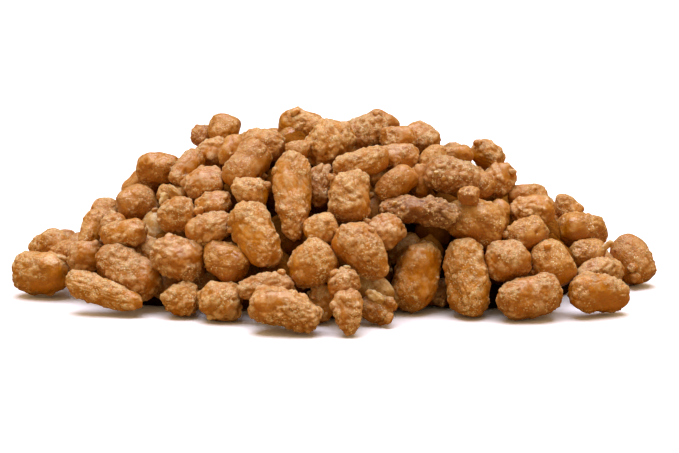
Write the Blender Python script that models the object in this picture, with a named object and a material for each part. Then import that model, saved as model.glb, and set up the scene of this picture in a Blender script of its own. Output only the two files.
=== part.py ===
"""A heap of toffee peanuts lying on a flat surface, in metres, +Z up.

The heap's natural reference point is the middle of its footprint on the surface.  The nuts that face the
front lie where they were read by eye: each row below gives a nut's middle as it is seen from the front,
its real length and width, how it leans and how far forward it stands.  The rest of the heap is filled with
nuts of the same sizes by a seeded rule, and all of them are then eased apart until they only just press
on each other.  A core under the nuts joins them into one solid with a flat base.
"""

import math

import bmesh
import bpy
import numpy as np
from mathutils import Matrix, Vector
from mathutils.bvhtree import BVHTree

# ---- Driving dimensions, in metres ----
HEAP_HEIGHT = 0.050
# How the mound falls: 1 is a straight slope and 2 a round dome, towards its sides and its front and back
SIDE_FULLNESS = 2.2
FRONT_FULLNESS = 1.6
# The footprint's radius by its direction in degrees, anticlockwise from +X: right, back, left, front
FOOTPRINT = {
    0: 0.090, 30: 0.087, 60: 0.080, 90: 0.074, 120: 0.078, 150: 0.085, 180: 0.090, 195: 0.085,
    207: 0.073, 222: 0.057, 240: 0.053, 255: 0.053, 272: 0.057, 285: 0.049, 305: 0.040, 318: 0.052,
    328: 0.070, 340: 0.083, 360: 0.090,
}
NUT_LENGTHS = (0.0125, 0.0180)
NUT_WIDTHS = (0.0092, 0.0118)
FLOOR_GAP = 0.0003  # the round nuts stay this far off the surface, which only the flat base touches
CORE_DEPTH = 0.0085  # from the mound's outer skin down to the core
CORE_SPOKES = 30
CORE_RINGS = 6
NECK_FREE = 0.32  # a nut whose middle is nearer to the core than this share of its width needs no neck
NECK_ROOT = 0.0025  # how far a neck runs into the core
NECK_WIDTH = 0.55  # of its nut's width
NECK_SIDES = 5
NUT_SIDES = 7
NUT_RINGS = 5  # rings of a nut that was read, and one fewer on a filling nut
FACETS = 10800
FACET_SWELL = 1.05  # a nut of few flat sides is made this much larger, so that it fills the round one

# ---- The front view that the nuts were read in ----
VIEW_DROP = math.radians(11.5)  # how far the view looks down
VIEW_DISTANCE = 0.600  # metres from the eye to the point it looks at
VIEW_AIM = np.array((0.0015, 0.0, 0.018))
VIEW_LENS = 2160.0  # pixels of picture for each metre across, one metre away
VIEW_MIDDLE = np.array((339.5, 226.5))
VIEW_SIZE = (680, 454)
VIEW_FORWARD = np.array((0.0, math.cos(VIEW_DROP), -math.sin(VIEW_DROP)))
VIEW_RIGHT = np.array((1.0, 0.0, 0.0))
VIEW_UP = np.cross(VIEW_RIGHT, VIEW_FORWARD)
VIEW_PLACE = VIEW_AIM - VIEW_DISTANCE * VIEW_FORWARD

# ---- The nuts that show from the front ----
# Each row: middle across and down in pixels of the front view, length and width in millimetres, lean in
# degrees anticlockwise from level, taken towards its thicker end, and how many millimetres it stands towards
# the eye.
ON_THE_FLOOR = (
    (41, 273, 17.0, 12.0, 175, 0),
    (105, 292, 22.5, 7.8, 163, 0),
    (181, 300, 9.9, 9.1, 10, 0),
    (220, 302, 11.7, 10.4, 0, 0),
    (286, 310, 18.8, 10.2, 163, 0),
    (347, 313, 12.0, 8.2, 92, 0),
    (417, 277, 19.2, 12.2, 72, 0),
    (467, 277, 21.0, 11.8, -83, 0),
    (529, 298, 17.3, 11.0, 12, 0),
    (599, 294, 17.8, 10.6, 175, 0),
    (632, 261, 14.3, 11.3, -60, 0),
    (376, 310, 8.8, 7.8, -20, 0),
    (323, 304, 10.5, 8.4, 70, 0),
    (438, 297, 9.0, 8.0, 10, -8),
)
ON_THE_LEFT = (
    (49, 246, 12.5, 8.8, 20, 0),
    (66, 255, 12.0, 8.0, 20, 0),
    (85, 257, 10.0, 9.3, 20, 0),
    (91, 230, 12.0, 6.5, 65, 0),
    (128, 271, 19.3, 11.5, -35, 2),
    (124, 235, 12.6, 7.8, 12, 2),
    (112, 226, 8.5, 6.5, 40, 0),
    (105, 214, 9.2, 8.4, 80, 0),
    (136, 205, 11.5, 10.9, 30, 1),
    (149, 251, 11.0, 8.2, -50, -4),
    (144, 184, 13.5, 9.2, 30, 0),
    (158, 168, 12.0, 8.7, -5, 0),
    (177, 215, 10.3, 9.8, 10, 2),
    (188, 169, 12.3, 7.5, 50, 0),
    (213, 154, 10.0, 8.6, 20, 0),
    (204, 184, 11.5, 9.4, 15, 2),
    (213, 205, 10.0, 7.4, 12, 0),
    (224, 129, 9.6, 8.8, 70, 0),
    (201, 136, 6.5, 5.8, 80, 0),
    (155, 227, 9.5, 8.0, 60, -7),
    (173, 196, 8.5, 6.0, -10, -4),
    (178, 257, 14.3, 11.7, -15, 3),
    (210, 229, 13.3, 8.7, 200, 2),
    (226, 260, 13.3, 10.5, -30, 2),
    (266, 288, 14.8, 8.1, 8, 3),
    (168, 283, 10.5, 8.5, 20, -9),
    (203, 283, 9.5, 7.8, -20, -9),
)
IN_THE_MIDDLE = (
    (233, 151, 9.5, 7.0, 60, 0),
    (263, 144, 12.3, 8.4, -12, 0),
    (247, 166, 15.5, 10.3, 55, 2),
    (250, 191, 10.4, 8.0, -20, 1),
    (256, 236, 18.6, 11.2, 114, 3),
    (293, 196, 25.0, 10.4, 92, 4),
    (319, 185, 11.5, 7.5, 85, -3),
    (298, 150, 6.9, 5.4, 0, 0),
    (301, 126, 13.2, 9.6, 170, 0),
    (328, 144, 14.2, 11.8, 50, 2),
    (366, 133, 12.6, 10.4, 15, 0),
    (382, 123, 9.6, 6.6, -30, 0),
    (398, 140, 10.0, 8.0, 10, 0),
    (398, 157, 11.5, 7.7, -5, 0),
    (361, 164, 16.0, 7.9, 14, 5),
    (376, 178, 5.0, 4.4, 60, 1),
    (350, 196, 14.6, 11.3, -95, 3),
    (396, 184, 12.4, 7.8, 38, 2),
    (420, 181, 9.2, 5.9, 85, -1),
    (421, 138, 10.8, 8.7, -35, 0),
    (420, 211, 22.3, 8.0, 175, 6),
    (321, 230, 9.1, 8.6, 20, 1),
    (363, 252, 17.0, 11.9, 132, 4),
    (384, 232, 11.5, 9.4, 35, 8),
    (312, 263, 12.9, 12.5, 20, 3),
    (343, 283, 9.0, 7.6, 20, 3),
    (368, 286, 14.5, 8.6, -37, -2),
    (425, 232, 10.5, 8.5, 30, -16),
)
ON_THE_RIGHT = (
    (432, 160, 9.6, 6.7, 50, 0),
    (456, 156, 9.8, 6.3, 0, 0),
    (453, 176, 14.8, 9.9, 168, 2),
    (480, 186, 8.5, 7.6, 20, 0),
    (487, 155, 9.8, 8.0, -35, 0),
    (499, 180, 9.6, 8.7, 60, 0),
    (469, 196, 6.0, 5.2, 0, 4),
    (474, 223, 16.5, 13.5, -20, 4),
    (499, 216, 9.0, 6.0, 80, -1),
    (527, 196, 11.8, 7.1, -5, 0),
    (532, 211, 12.8, 8.9, 5, 0),
    (527, 234, 11.4, 8.7, 20, 3),
    (567, 209, 8.7, 7.2, -40, 0),
    (582, 231, 15.6, 10.4, 177, 2),
    (508, 260, 11.8, 10.8, 10, 3),
    (552, 264, 12.9, 10.8, -60, 3),
    (600, 272, 14.5, 8.0, 5, 0),
    (588, 254, 11.0, 8.5, 10, -5),
    (404, 251, 11.0, 8.6, 25, -6),
)
SEEN = ON_THE_FLOOR + ON_THE_LEFT + IN_THE_MIDDLE + ON_THE_RIGHT
# The nuts that narrow markedly to one end, by their place in the view, and by how much
TAPERED = {(347, 313): 0.40, (293, 196): 0.26, (105, 292): 0.32, (226, 260): 0.28, (474, 223): 0.24}

# ---- How the rest of the heap is filled ----
SEED = 11
FILL_DEPTHS = (0.0010, 0.0055)  # how far below the mound's skin the two rounds of filling nuts lie
FILL_TRIES = (2600, 2600)
FILL_SPACING = 0.0104
FILL_SHOWING = 0.06  # the share of a filling nut that may come in front of a nut that was read
EASE_ROUNDS = 160
EASE_PRESS = 0.93  # two nuts come this close, as a share of their widths


def footprint_radius(x, y):
    """The footprint's radius in the direction of each point, eased between the values of FOOTPRINT."""
    turn = np.degrees(np.arctan2(y, x)) % 360
    radii = np.array([*FOOTPRINT.values(), FOOTPRINT[360]])
    at = np.interp(turn, list(FOOTPRINT), range(len(FOOTPRINT)))
    low = np.floor(at).astype(int)
    part = at - low
    part = part * part * (3 - 2 * part)
    return radii[low] * (1 - part) + radii[low + 1] * part


def mound_height(x, y):
    """The smooth mound that the nuts' outer sides follow: height x (1 - share of the radius ^ fullness)."""
    reach = np.hypot(x, y) + 1e-9
    fullness = SIDE_FULLNESS + (FRONT_FULLNESS - SIDE_FULLNESS) * (y / reach) ** 2
    return HEAP_HEIGHT * (1 - (reach / footprint_radius(x, y)) ** fullness)


def mound_normal(points, step=0.0005):
    """The mound's outward direction above or below each point."""
    x, y = points[..., 0], points[..., 1]
    slope_x = (mound_height(x + step, y) - mound_height(x - step, y)) / (2 * step)
    slope_y = (mound_height(x, y + step) - mound_height(x, y - step)) / (2 * step)
    normal = np.stack((-slope_x, -slope_y, np.ones_like(slope_x)), axis=-1)
    return normal / np.linalg.norm(normal, axis=-1, keepdims=True)


def above_mound(points):
    """Each point's distance outside the mound's skin, below zero inside."""
    height = points[..., 2] - mound_height(points[..., 0], points[..., 1])
    return height * mound_normal(points)[..., 2]


def unit(vectors):
    return vectors / np.linalg.norm(vectors, axis=-1, keepdims=True)


def seen_nuts():
    """Where the nuts that were read lie: on the floor, or where their line of sight enters the mound."""
    across, down, length, width, lean, towards = np.array(SEEN, float).T
    length, width, towards = length / 1000, width / 1000, towards / 1000
    sideways = np.outer((across - VIEW_MIDDLE[0]) / VIEW_LENS, VIEW_RIGHT)
    rays = VIEW_FORWARD + sideways - np.outer((down - VIEW_MIDDLE[1]) / VIEW_LENS, VIEW_UP)
    depths = np.arange(0.8 * VIEW_DISTANCE, 1.2 * VIEW_DISTANCE, 0.0005)
    clear = above_mound(VIEW_PLACE + depths[:, None] * rays[:, None, :]) + width[:, None] / 2
    first = np.where((clear < 0).any(axis=1), np.argmax(clear < 0, axis=1), np.argmin(clear, axis=1))
    depth = depths[first]
    # Each nut lies half way between square to the view and flat on the mound's slope.
    lean = np.radians(lean)
    flat = np.outer(np.cos(lean), VIEW_RIGHT) + np.outer(np.sin(lean), VIEW_UP)
    normal = mound_normal(VIEW_PLACE + depth[:, None] * rays)
    facing = np.minimum((unit(rays) * normal).sum(axis=1), -0.3)
    tip = np.clip(-0.5 * (flat * normal).sum(axis=1) / facing, -0.5, 0.5)
    axis = unit(flat + tip[:, None] * unit(rays))
    floor = np.arange(len(SEEN)) < len(ON_THE_FLOOR)
    stand = (length - width) / 2 * np.abs(axis[:, 2]) + width / 2
    depth = np.where(floor, (stand - VIEW_PLACE[2]) / rays[:, 2], depth) - towards
    place = VIEW_PLACE + depth[:, None] * rays
    return place, axis, length, width, floor


def in_view(points):
    """Each point's place across and down the front view, in pixels, and its depth from the eye."""
    reach = points - VIEW_PLACE
    depth = reach @ VIEW_FORWARD
    across = VIEW_MIDDLE[0] + VIEW_LENS * (reach @ VIEW_RIGHT) / depth
    down = VIEW_MIDDLE[1] - VIEW_LENS * (reach @ VIEW_UP) / depth
    return across, down, depth


def front_depths(place, axis, length, width):
    """The depth of the nearest read nut at each pixel of the front view.

    It is far away outside the heap's outline, and nothing lies in front of the gaps inside the outline.
    """
    columns, rows = np.meshgrid(np.arange(VIEW_SIZE[0]), np.arange(VIEW_SIZE[1]))
    nearest = np.full(columns.shape, np.inf)
    for x, y, depth, lie, long, wide in zip(*in_view(place), axis, length, width):
        scale = VIEW_LENS / depth
        along = unit(np.array((lie @ VIEW_RIGHT, -(lie @ VIEW_UP))))
        right, down = columns - x, rows - y
        share = (right * along[0] + down * along[1]) ** 2 / (scale * long / 2) ** 2
        share += (right * along[1] - down * along[0]) ** 2 / (scale * wide / 2) ** 2
        face = depth - wide / 2 * np.sqrt(np.maximum(1 - share, 0))
        nearest = np.where(share < 1, np.minimum(nearest, face), nearest)
    covered = np.isfinite(nearest)
    below_top = np.maximum.accumulate(covered, axis=0)
    above_bottom = np.maximum.accumulate(covered[::-1], axis=0)[::-1]
    return np.where(covered, nearest, np.where(below_top & above_bottom, -np.inf, np.inf))


def share_showing(point, width, depths):
    """How much of a nut at this point comes in front of the read nuts or outside the heap's outline."""
    across, down, depth = in_view(point)
    reach = width / 2 * VIEW_LENS / depth
    steps = np.linspace(-1, 1, 9)
    right, under = np.meshgrid(steps, steps)
    inside = right**2 + under**2 < 1
    column = np.clip(across + reach * right[inside], 0, VIEW_SIZE[0] - 1).astype(int)
    row = np.clip(down + reach * under[inside], 0, VIEW_SIZE[1] - 1).astype(int)
    return float((depth - width / 3 < depths[row, column]).mean())


def filling_nuts(place, depths):
    """Seeded nuts over the rest of the mound, no nearer than FILL_SPACING to each other."""
    draw = np.random.RandomState(SEED)
    taken = place
    found = []
    for inset, tries in zip(FILL_DEPTHS, FILL_TRIES):
        for _ in range(tries):
            turn, share, spin = draw.uniform(0, (2 * math.pi, 1, math.pi))
            length, width = draw.uniform(*NUT_LENGTHS), draw.uniform(*NUT_WIDTHS)
            ray = np.array((math.cos(turn), math.sin(turn), 0.0))
            point = ray * math.sqrt(share) * footprint_radius(ray[0], ray[1])
            point[2] = mound_height(point[0], point[1])
            normal = mound_normal(point)
            point = point - normal * (width / 2 + inset)
            point[2] = max(point[2], width / 2 + FLOOR_GAP)
            if np.linalg.norm(taken - point, axis=1).min() < FILL_SPACING:
                continue
            if share_showing(point, width, depths) > FILL_SHOWING:
                continue
            across = unit(np.cross(normal, VIEW_RIGHT + 0.2 * VIEW_FORWARD))
            axis = math.cos(spin) * across + math.sin(spin) * np.cross(normal, across)
            taken = np.vstack((taken, point))
            found.append((point, axis, length, width))
    return [np.array(column) for column in zip(*found)]


def ease_apart(place, axis, length, width, read, floor):
    """Pushes overlapping nuts apart, each as three balls along its axis, without moving its picture.

    A nut that was read slides along its line of sight, and a filling nut moves freely.
    """
    home = place
    sight = unit(place - VIEW_PLACE)
    half = (length - width) / 2
    stand = half * np.abs(axis[:, 2]) + width / 2 + FLOOR_GAP
    balls = axis[:, None, :] * (half[:, None] * np.array((-1.0, 0.0, 1.0)))[:, :, None]
    owner = np.repeat(np.arange(len(place)), 3)
    radius = np.repeat(width / 2, 3)
    reach = np.where(owner[:, None] == owner, 0, (radius[:, None] + radius) * EASE_PRESS)
    for _ in range(EASE_ROUNDS):
        middle = (place[:, None, :] + balls).reshape(-1, 3)
        gap = middle[:, None, :] - middle
        distance = np.linalg.norm(gap, axis=2) + 1e-9
        overlap = np.maximum(reach - distance, 0) / distance
        push = 0.42 * (gap * overlap[:, :, None]).sum(axis=1).reshape(-1, 3, 3).mean(axis=1)
        push *= np.minimum(1, 0.0012 / np.maximum(np.linalg.norm(push, axis=1, keepdims=True), 1e-9))
        away = place - home
        push_deep = (push * sight).sum(axis=1, keepdims=True) * sight
        away_deep = (away * sight).sum(axis=1, keepdims=True) * sight
        slide = 0.9 * push_deep - 0.02 * away_deep
        slide += 0.12 * (push - push_deep) - 0.3 * (away - away_deep)
        slide *= np.where(floor, 0.25, 1.0)[:, None]
        place = place + np.where(read[:, None], slide, push - 0.05 * away)
        place[:, 2] = np.maximum(place[:, 2], stand)
    return place


def laid_nuts():
    """Every nut of the heap: its middle, axis, length and width, and whether it was read from the front."""
    place, axis, length, width, floor = seen_nuts()
    depths = front_depths(place, axis, length, width)
    more = filling_nuts(place, depths)
    read = np.arange(len(place) + len(more[0])) < len(place)
    floor = np.pad(floor, (0, len(more[0])))
    place, axis, length, width = (
        np.concatenate(pair) for pair in zip((place, axis, length, width), more)
    )
    place = ease_apart(place, axis, length, width, read, floor)
    hidden = [share_showing(p, w, depths) < FILL_SHOWING for p, w in zip(place, width)]
    kept = read | np.array(hidden)
    return place[kept], axis[kept], length[kept], width[kept], read[kept]


def nut_surface(directions, place, axis, length, width, number):
    """One nut: a lumpy egg, fuller than an ellipsoid, from the directions in which its points lie.

    Along the axis it tapers and, if long, narrows at a waist.  It bends a little and has a few soft lumps.
    """
    draw = np.random.RandomState(SEED + 100 * number)
    fullness = draw.uniform(2.2, 2.8)
    taper = draw.uniform(0.0, 0.20)
    if number < len(SEEN):
        taper = TAPERED.get(SEEN[number][:2], taper)
    waist = draw.uniform(0.0, 0.12) * min(max(length / width - 1.3, 0), 1)
    bend = draw.uniform(-0.09, 0.09)
    thickness = draw.uniform(0.88, 1.0)
    lumps = unit(draw.normal(size=(6, 3)))
    heights = draw.uniform(-0.07, 0.13, 6)
    along = directions[:, :1]
    ring = np.sqrt(np.maximum(1 - along**2, 1e-9))
    radius = (1 - np.abs(along) ** fullness) ** (1 / fullness) / ring
    radius = np.where(ring < 1e-3, 1.0, radius)
    radius *= (1 + taper * along) * (1 - waist * np.exp(-((along / 0.35) ** 2)))
    radius += (heights * np.exp(6 * (directions @ lumps.T - 1))).sum(axis=1, keepdims=True)
    sideways = directions[:, 1:] * radius * np.array((1.0, thickness)) * width / 2
    sideways[:, 0] += bend * width * (along[:, 0] ** 2 - 0.4)
    side = unit(np.cross(place - VIEW_PLACE, axis))
    deep = np.cross(axis, side)
    offset = along * axis * length / 2 + sideways[:, :1] * side + sideways[:, 1:] * deep
    points = place + offset
    points[:, 2] += max(0.0, FLOOR_GAP - points[:, 2].min())
    return points


def new_object(name, bm):
    """A mesh object made from the bmesh, which is freed."""
    mesh = bpy.data.meshes.new(name)
    bm.to_mesh(mesh)
    bm.free()
    obj = bpy.data.objects.new(name, mesh)
    bpy.context.scene.collection.objects.link(obj)
    return obj


def faceted_nut(name, rings, *nut):
    """A nut of a few flat sides, in rings round its axis."""
    bm = bmesh.new()
    bmesh.ops.create_uvsphere(bm, u_segments=NUT_SIDES, v_segments=rings, radius=1.0)
    bmesh.ops.triangulate(bm, faces=bm.faces)
    directions = np.array([vertex.co.zxy for vertex in bm.verts])
    place, axis, length, width, number = nut
    points = nut_surface(directions, place, axis, length * FACET_SWELL, width * FACET_SWELL, number)
    for vertex, point in zip(bm.verts, points):
        vertex.co = point
    return new_object(name, bm)


def core():
    """The mound's inside: rings of points CORE_DEPTH under its skin, over a flat base at the surface."""
    bm = bmesh.new()
    top = bm.verts.new((0, 0, HEAP_HEIGHT - CORE_DEPTH))
    turns = np.arange(CORE_SPOKES) * 2 * math.pi / CORE_SPOKES
    rings = []
    for ring in range(1, CORE_RINGS + 1):
        share = (ring / CORE_RINGS) ** 0.8
        reach = share * (footprint_radius(np.cos(turns), np.sin(turns)) - CORE_DEPTH)
        x, y = reach * np.cos(turns), reach * np.sin(turns)
        skin = np.stack((x, y, mound_height(x, y)), axis=-1)
        height = np.maximum(skin[:, 2] - CORE_DEPTH / mound_normal(skin)[:, 2] ** 0.5, CORE_DEPTH / 2)
        rings.append([bm.verts.new(corner) for corner in zip(x, y, height)])
    rings.append([bm.verts.new((v.co.x, v.co.y, 0)) for v in rings[-1]])
    for spoke in range(CORE_SPOKES):
        following = (spoke + 1) % CORE_SPOKES
        bm.faces.new((top, rings[0][spoke], rings[0][following]))
        for inner, outer in zip(rings, rings[1:]):
            bm.faces.new((inner[spoke], outer[spoke], outer[following], inner[following]))
    bm.faces.new(rings[-1][::-1])
    bmesh.ops.recalc_face_normals(bm, faces=bm.faces)
    return new_object("heap_of_toffee_peanuts", bm)


def necks(body, place, width):
    """Short necks of toffee down to the core, from the nuts whose middles lie too far off it to be joined."""
    tree = BVHTree.FromObject(body, bpy.context.evaluated_depsgraph_get())
    made = []
    for number, (middle, wide) in enumerate(zip(place, width)):
        start = Vector(middle)
        nearest, outwards, _, distance = tree.find_nearest(start)
        if (start - nearest).dot(outwards) < 0 or distance < NECK_FREE * wide:
            continue
        end = nearest - NECK_ROOT * outwards
        end.z = max(end.z, NECK_ROOT / 2)
        run = end - start
        turn = Vector((0, 0, 1)).rotation_difference(run).to_matrix().to_4x4()
        bm = bmesh.new()
        bmesh.ops.create_cone(
            bm,
            cap_ends=True,
            segments=NECK_SIDES,
            radius1=NECK_WIDTH * wide / 2,
            radius2=NECK_WIDTH * wide / 2,
            depth=run.length,
            matrix=Matrix.Translation((start + end) / 2) @ turn,
        )
        made.append(new_object(f"neck_{number}", bm))
    return made


def join(body, pieces):
    """Joins the pieces to the body by one Boolean union, and removes them."""
    group = bpy.data.collections.new("pieces")
    bpy.context.scene.collection.children.link(group)
    for piece in pieces:
        bpy.context.scene.collection.objects.unlink(piece)
        group.objects.link(piece)
    union = body.modifiers.new("join the nuts", "BOOLEAN")
    union.operation = "UNION"
    union.operand_type = "COLLECTION"
    union.collection = group
    union.solver = "EXACT"
    union.use_self = True
    graph = bpy.context.evaluated_depsgraph_get()
    joined = bpy.data.meshes.new_from_object(body.evaluated_get(graph))
    body.modifiers.remove(union)
    body.data = joined
    for piece in pieces:
        bpy.data.objects.remove(piece)
    bpy.data.collections.remove(group)


def keep_outer_skin(obj):
    """Keeps the largest closed skin, which fills sealed hollows and drops loose scraps."""
    bm = bmesh.new()
    bm.from_mesh(obj.data)
    bmesh.ops.triangulate(bm, faces=bm.faces)
    waiting = set(bm.faces)
    skins = []
    while waiting:
        edge = [waiting.pop()]
        skin = set(edge)
        while edge:
            near = {face for line in edge.pop().edges for face in line.link_faces} & waiting
            waiting -= near
            skin |= near
            edge.extend(near)
        skins.append(skin)
    skins.sort(key=len)
    for skin in skins[:-1]:
        bmesh.ops.delete(bm, geom=list(skin), context="FACES")
    bm.to_mesh(obj.data)
    bm.free()


def simplify(obj):
    """Merges the smallest facets that the union left along its seams, down to FACETS.

    The flat base's rim and the points next to it stay, and no merged point ends up under the nuts' floor gap.
    """
    base = {vertex.index for vertex in obj.data.vertices if vertex.co.z < FLOOR_GAP / 2}
    fixed = base | {end for edge in obj.data.edges if base & set(edge.vertices) for end in edge.vertices}
    free = obj.vertex_groups.new(name="free to merge")
    free.add([vertex.index for vertex in obj.data.vertices if vertex.index not in fixed], 1.0, "REPLACE")
    decimate = obj.modifiers.new("fewer facets", "DECIMATE")
    decimate.ratio = FACETS / len(obj.data.polygons)
    decimate.vertex_group = free.name
    graph = bpy.context.evaluated_depsgraph_get()
    merged = bpy.data.meshes.new_from_object(obj.evaluated_get(graph))
    obj.modifiers.remove(decimate)
    obj.vertex_groups.clear()
    obj.data = merged
    for vertex in merged.vertices:
        if vertex.co.z != 0:
            vertex.co.z = max(vertex.co.z, FLOOR_GAP)


def toffee():
    """Caramel-brown sugar coat."""
    material = bpy.data.materials.new("toffee")
    material.use_nodes = True
    shader = material.node_tree.nodes["Principled BSDF"]
    shader.inputs["Base Color"].default_value = (0.40, 0.17, 0.045, 1)
    shader.inputs["Roughness"].default_value = 0.42
    shader.inputs["Metallic"].default_value = 0.0
    return material


def main():
    for obj in list(bpy.data.objects):
        bpy.data.objects.remove(obj)
    place, axis, length, width, read = laid_nuts()
    heap = core()
    nuts = [
        faceted_nut(f"nut_{number}", NUT_RINGS if seen else NUT_RINGS - 1, *nut, number)
        for number, (seen, *nut) in enumerate(zip(read, place, axis, length, width))
    ]
    join(heap, nuts + necks(heap, place, width))
    keep_outer_skin(heap)
    simplify(heap)
    heap.data.materials.clear()
    heap.data.materials.append(toffee())


if __name__ == "__main__":
    main()
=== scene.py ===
"""A heap of toffee peanuts on a white surface, in metres, +Z up.

The nuts lie where the solid's nuts lie: the rows below give the ones that were read from the front, a
seeded rule fills the rest of the mound, and all are then eased apart.  Each nut is a closed surface over
the six square patches of a ball.  Its coat is relief worked out on that surface: lumps, creases, pits and
crowds of nodules, in proportions that depend on the kind of coat.  Under the outer nuts lies a second
layer, more plainly made, and painted dark as shade where only the gaps in front show it, and under that
a lumpy core painted dark as shade, so that the gaps look deep.
"""

import functools
import math

import bpy
import numpy as np
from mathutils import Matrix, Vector


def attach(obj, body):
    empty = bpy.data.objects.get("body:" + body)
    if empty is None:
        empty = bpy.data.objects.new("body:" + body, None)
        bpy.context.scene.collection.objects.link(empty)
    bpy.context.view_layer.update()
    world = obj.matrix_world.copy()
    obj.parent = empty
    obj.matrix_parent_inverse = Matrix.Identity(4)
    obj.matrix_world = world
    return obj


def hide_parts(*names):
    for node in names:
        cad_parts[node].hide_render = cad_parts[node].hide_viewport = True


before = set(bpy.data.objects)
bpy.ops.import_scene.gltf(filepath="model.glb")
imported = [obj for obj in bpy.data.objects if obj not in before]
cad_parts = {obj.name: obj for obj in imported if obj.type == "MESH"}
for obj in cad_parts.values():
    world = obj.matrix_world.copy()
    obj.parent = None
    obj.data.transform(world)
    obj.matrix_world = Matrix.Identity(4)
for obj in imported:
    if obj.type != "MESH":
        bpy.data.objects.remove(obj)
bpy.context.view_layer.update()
HEAP = "heap_of_toffee_peanuts"

# ---- The heap's driving dimensions, in metres ----
HEAP_HEIGHT = 0.050
# How the mound falls: 1 is a straight slope and 2 a round dome, towards its sides and its front and back
SIDE_FULLNESS = 2.2
FRONT_FULLNESS = 1.6
# The footprint's radius by its direction in degrees, anticlockwise from +X: right, back, left, front
FOOTPRINT = {
    0: 0.090, 30: 0.087, 60: 0.080, 90: 0.074, 120: 0.078, 150: 0.085, 180: 0.090, 195: 0.085,
    207: 0.073, 222: 0.057, 240: 0.053, 255: 0.053, 272: 0.057, 285: 0.049, 305: 0.040, 318: 0.052,
    328: 0.070, 340: 0.083, 360: 0.090,
}
NUT_LENGTHS = (0.0125, 0.0180)
NUT_WIDTHS = (0.0092, 0.0118)
FLOOR_GAP = 0.0003

# ---- The front view, which is also the camera's ----
VIEW_DROP = math.radians(11.5)  # how far the view looks down
VIEW_DISTANCE = 0.600  # metres from the eye to the point it looks at
VIEW_AIM = np.array((0.0015, 0.0, 0.018))
VIEW_LENS = 2160.0  # pixels of picture for each metre across, one metre away
VIEW_MIDDLE = np.array((339.5, 226.5))  # the picture's middle, in pixels across and down
VIEW_SIZE = (680, 454)  # the pixels of the depth map, one more each way than the picture's
VIEW_FORWARD = np.array((0.0, math.cos(VIEW_DROP), -math.sin(VIEW_DROP)))
VIEW_RIGHT = np.array((1.0, 0.0, 0.0))
VIEW_UP = np.cross(VIEW_RIGHT, VIEW_FORWARD)
VIEW_PLACE = VIEW_AIM - VIEW_DISTANCE * VIEW_FORWARD
SIGHT_STEP = 0.0005  # metres between the points tried along a line of sight
SENSOR_WIDTH = 36.0  # in millimetres
PICTURE_WIDTH = 679  # in pixels

# ---- The nuts that show from the front ----
# Each row: middle across and down in pixels of the front view, length and width in millimetres, lean in
# degrees anticlockwise from level, taken towards its thicker end, how many millimetres it stands towards
# the eye, and its coat.
ON_THE_FLOOR = (
    (41, 273, 17.0, 12.0, 175, 0, "sugary"),
    (105, 292, 22.5, 7.8, 163, 0, "sugary"),
    (181, 300, 9.9, 9.1, 10, 0, "nodular"),
    (220, 302, 11.7, 10.4, 0, 0, "nodular"),
    (286, 310, 18.8, 10.2, 163, 0, "crusty"),
    (347, 313, 12.0, 8.2, 92, 0, "nodular"),
    (417, 277, 19.2, 12.2, 72, 0, "sugary"),
    (467, 277, 21.0, 11.8, -83, 0, "sugary"),
    (529, 298, 17.3, 11.0, 12, 0, "sugary"),
    (599, 294, 17.8, 10.6, 175, 0, "sugary"),
    (632, 261, 14.3, 11.3, -60, 0, "smooth"),
    (376, 310, 8.8, 7.8, -20, 0, "sugary"),
    (323, 304, 10.5, 8.4, 70, 0, "nodular"),
    # A nut in a shaded recess: its dark coat is painted shade.
    (438, 297, 9.0, 8.0, 10, -8, "dark"),
)
ON_THE_LEFT = (
    (49, 246, 12.5, 8.8, 20, 0, "sugary"),
    (66, 255, 12.0, 8.0, 20, 0, "smooth"),
    (85, 257, 10.0, 9.3, 20, 0, "nodular"),
    (91, 230, 12.0, 6.5, 65, 0, "smooth"),
    (128, 271, 19.3, 11.5, -35, 2, "sugary"),
    (124, 235, 12.6, 7.8, 12, 2, "sugary"),
    (112, 226, 8.5, 6.5, 40, 0, "nodular"),
    (105, 214, 9.2, 8.4, 80, 0, "smooth"),
    (136, 205, 11.5, 10.9, 30, 1, "smooth"),
    (149, 251, 11.0, 8.2, -50, -4, "nodular"),
    (144, 184, 13.5, 9.2, 30, 0, "smooth"),
    (158, 168, 12.0, 8.7, -5, 0, "smooth"),
    (177, 215, 10.3, 9.8, 10, 2, "sugary"),
    (188, 169, 12.3, 7.5, 50, 0, "sugary"),
    (213, 154, 10.0, 8.6, 20, 0, "nodular"),
    (204, 184, 11.5, 9.4, 15, 2, "nodular"),
    (213, 205, 10.0, 7.4, 12, 0, "nodular"),
    (224, 129, 9.6, 8.8, 70, 0, "smooth"),
    (201, 136, 6.5, 5.8, 80, 0, "amber"),
    (155, 227, 9.5, 8.0, 60, -7, "pale"),
    (173, 196, 8.5, 6.0, -10, -4, "smooth"),
    (178, 257, 14.3, 11.7, -15, 3, "crusty"),
    (210, 229, 13.3, 8.7, 200, 2, "nodular"),
    (226, 260, 13.3, 10.5, -30, 2, "amber"),
    (266, 288, 14.8, 8.1, 8, 3, "nodular"),
    (168, 283, 10.5, 8.5, 20, -9, "smooth"),
    (203, 283, 9.5, 7.8, -20, -9, "smooth"),
)
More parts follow.
